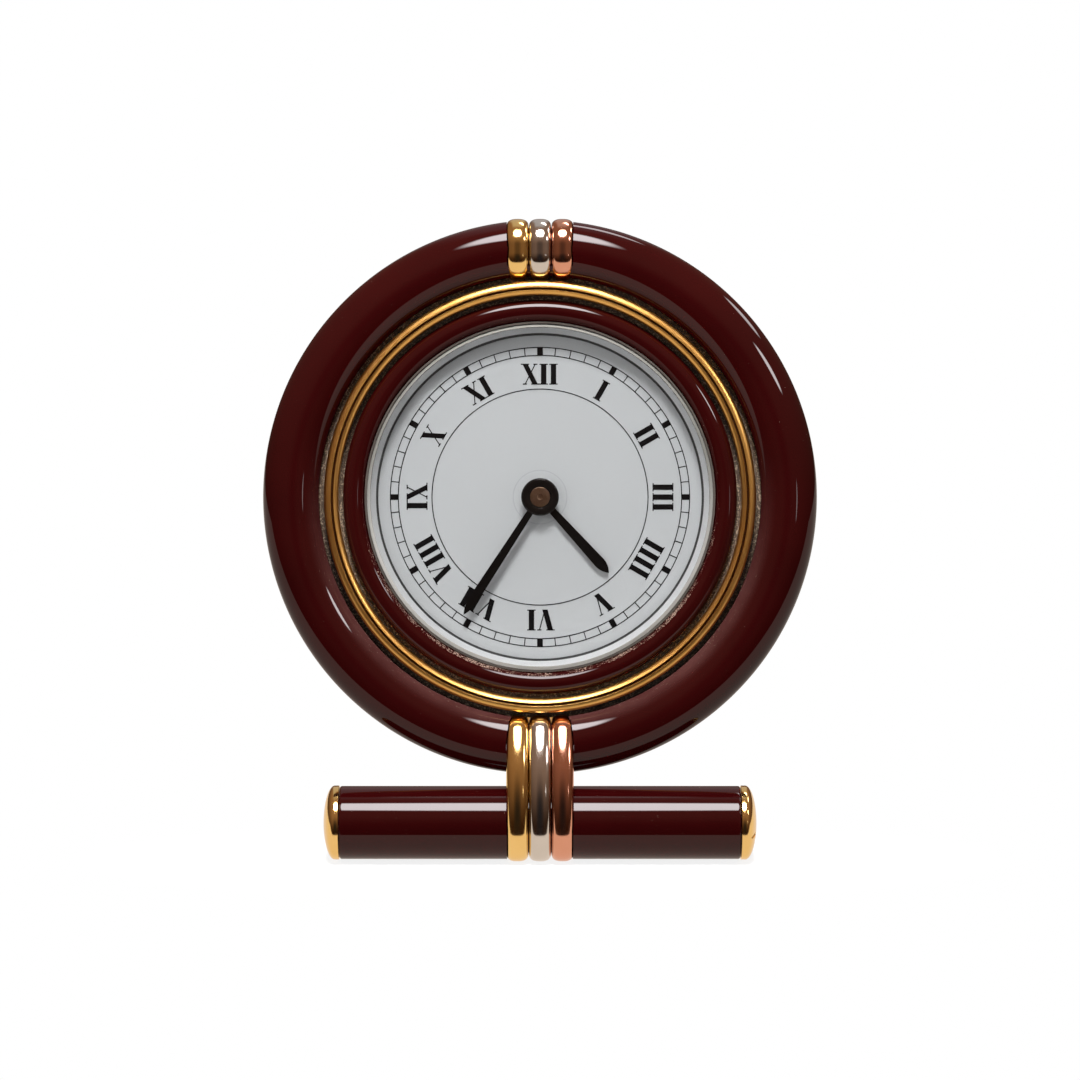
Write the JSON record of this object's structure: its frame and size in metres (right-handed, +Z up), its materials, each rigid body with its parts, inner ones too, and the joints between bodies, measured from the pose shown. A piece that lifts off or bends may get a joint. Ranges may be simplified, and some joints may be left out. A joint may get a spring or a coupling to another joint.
{
  "type": "pendulette clock",
  "caption": "Small round desk clock on a foot bar: lacquered ring with a gold bezel, white dial with Roman numerals, metal bands, quartz movement and folding strut",
  "frame": {"origin": "on the ground, under the middle of the foot bar", "axes": "+Z up, dial to -Y with its top leaning back ten degrees, +X to the right of someone who reads the dial"},
  "size_m": [0.074, 0.036, 0.0846],
  "materials": {
    "lacquer": "deep red lacquer over brass, polished",
    "yellow_gold": "yellow gold plate, polished",
    "white_gold": "white gold plate, polished",
    "rose_gold": "rose gold plate, polished",
    "crystal": "clear mineral glass, chamfered",
    "gasket": "pale translucent plastic",
    "flange": "pale grey, satin",
    "dial": "white, satin",
    "ink": "black print",
    "hands": "black, gloss",
    "case_brass": "brass, brushed and plated",
    "wheel_brass": "brass, turned",
    "steel": "steel, bright",
    "soft_iron": "soft iron, dull grey",
    "magnet": "sintered, dark grey",
    "movement_plastic": "moulded, dark grey",
    "wheel_plastic": "moulded, cream",
    "copper": "enamelled copper wire",
    "board": "green solder mask"
  },
  "bodies": {
    "clock_body": {"outer_ring": "lacquer", "case_body": "case_brass", "bezel": "yellow_gold", "inner_ring": "lacquer", "crystal": "crystal", "crystal_gasket": "gasket", "dial_flange": "flange", "dial": "dial", "dial_numerals": "ink", "dial_track": "ink", "foot_bar": "lacquer", "end_cap_left": "yellow_gold", "end_cap_right": "yellow_gold", "tie_rod": "steel", "bar_saddle": "case_brass", "saddle_screws": "steel", "top_band_yellow": "yellow_gold", "top_band_white": "white_gold", "top_band_rose": "rose_gold", "bottom_band_yellow": "yellow_gold", "bottom_band_white": "white_gold", "bottom_band_rose": "rose_gold", "movement_holder": "movement_plastic", "movement_housing": "movement_plastic", "movement_cover": "movement_plastic", "movement_screws": "steel", "stator": "soft_iron", "coil_core": "soft_iron", "coil_bobbin": "wheel_plastic", "coil_winding": "copper", "circuit_board": "board", "quartz_can": "steel", "button_cell": "steel", "positive_contact": "wheel_brass", "negative_contact": "wheel_brass", "back_cover": "case_brass", "back_screws": "steel", "hinge_bracket": "case_brass", "bracket_screws": "steel", "hinge_pin": "steel"},
    "minute_hand_body": {"minute_hand": "hands", "minute_hand_bush": "hands", "hand_nut": "wheel_brass", "minute_arbor": "steel", "centre_wheel": "wheel_plastic", "cannon_pinion": "wheel_brass"},
    "hour_hand_body": {"hour_hand": "hands", "hour_wheel": "wheel_plastic"},
    "minute_wheel_body": {"minute_wheel": "wheel_plastic"},
    "intermediate_body": {"intermediate_wheel": "wheel_plastic", "intermediate_pinion": "wheel_plastic"},
    "rotor_body": {"rotor_magnet": "magnet", "rotor_pinion": "wheel_plastic"},
    "setting_body": {"setting_stem": "steel", "setting_knob": "wheel_brass"},
    "strut_body": {"strut": "case_brass"},
    "hatch_body": {"battery_hatch": "case_brass"}
  },
  "joints": [
    {"name": "minute_hand_turn", "type": "hinge", "parent": "clock_body", "child": "minute_hand_body", "pos_m": [0, 0.00755, 0.04794], "axis": [0, 0.9848, -0.1736], "continuous": true},
    {"name": "hour_hand_turn", "type": "hinge", "parent": "clock_body", "child": "hour_hand_body", "pos_m": [0, 0.00755, 0.04794], "axis": [0, 0.9848, -0.1736], "continuous": true},
    {"name": "minute_wheel_turn", "type": "hinge", "parent": "clock_body", "child": "minute_wheel_body", "pos_m": [-0.003, 0.00846, 0.05306], "axis": [0, 0.9848, -0.1736], "continuous": true},
    {"name": "intermediate_turn", "type": "hinge", "parent": "clock_body", "child": "intermediate_body", "pos_m": [-0.00677, 0.00713, 0.04551], "axis": [0, 0.9848, -0.1736], "continuous": true},
    {"name": "rotor_turn", "type": "hinge", "parent": "clock_body", "child": "rotor_body", "pos_m": [-0.00857, 0.00626, 0.04063], "axis": [0, 0.9848, -0.1736], "continuous": true},
    {"name": "setting_turn", "type": "hinge", "parent": "clock_body", "child": "setting_body", "pos_m": [-0.003, 0.0095, 0.05897], "axis": [0, 0.9848, -0.1736], "continuous": true},
    {"name": "strut_fold", "type": "hinge", "parent": "clock_body", "child": "strut_body", "pos_m": [0, 0.01956, 0.04176], "axis": [-1, 0, 0], "range_deg": [0, 24]},
    {"name": "hatch_turn", "type": "hinge", "parent": "clock_body", "child": "hatch_body", "pos_m": [0.01178, 0.00851, 0.05335], "axis": [0, -0.9848, 0.1736], "range_deg": [0, 45]}
  ],
  "couplings": [
    {"joint": "hour_hand_turn", "follows": "minute_hand_turn", "ratio": 0.083333},
    {"joint": "minute_wheel_turn", "follows": "minute_hand_turn", "ratio": -0.33333},
    {"joint": "intermediate_turn", "follows": "minute_hand_turn", "ratio": -9},
    {"joint": "rotor_turn", "follows": "minute_hand_turn", "ratio": 90},
    {"joint": "setting_turn", "follows": "minute_hand_turn", "ratio": 1}
  ]
}
